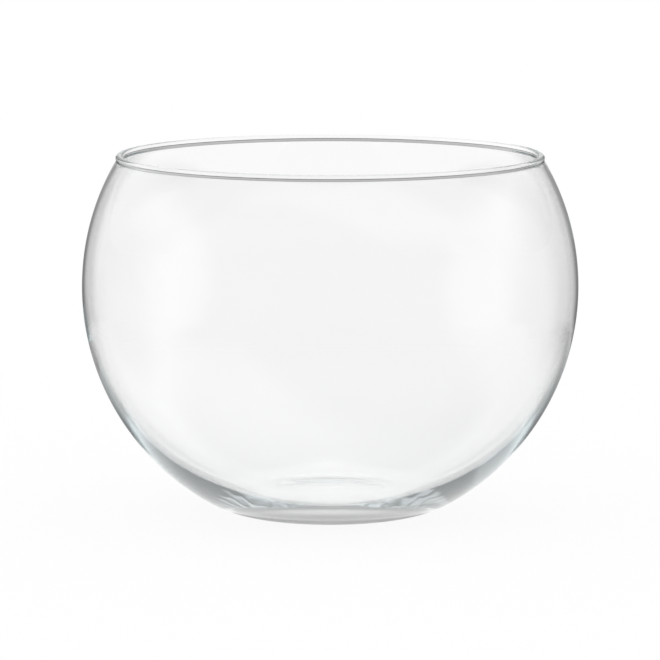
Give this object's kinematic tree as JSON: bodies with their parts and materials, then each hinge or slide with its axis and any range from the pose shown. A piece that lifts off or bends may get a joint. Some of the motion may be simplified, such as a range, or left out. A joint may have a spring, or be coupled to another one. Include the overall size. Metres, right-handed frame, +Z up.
{
  "type": "ball vase",
  "caption": "Clear blown glass ball vase: a bowl open above its widest line, with a melted round rim, a wall that thickens to the base and a flat foot ring.",
  "frame": {"origin": "on the axis, in the plane of the flat foot ring that the vase stands on", "axes": "+Z up along the axis of the ball, towards the mouth; X and Y are alike, because the vase is round"},
  "size_m": [0.25, 0.25, 0.1825],
  "materials": {
    "clear_glass": "clear soda-lime glass, fire-polished, smooth and bright, with a very faint green-blue tint where it is thick"
  },
  "bodies": {
    "root": {"glass_bowl": "clear_glass"}
  },
  "joints": []
}
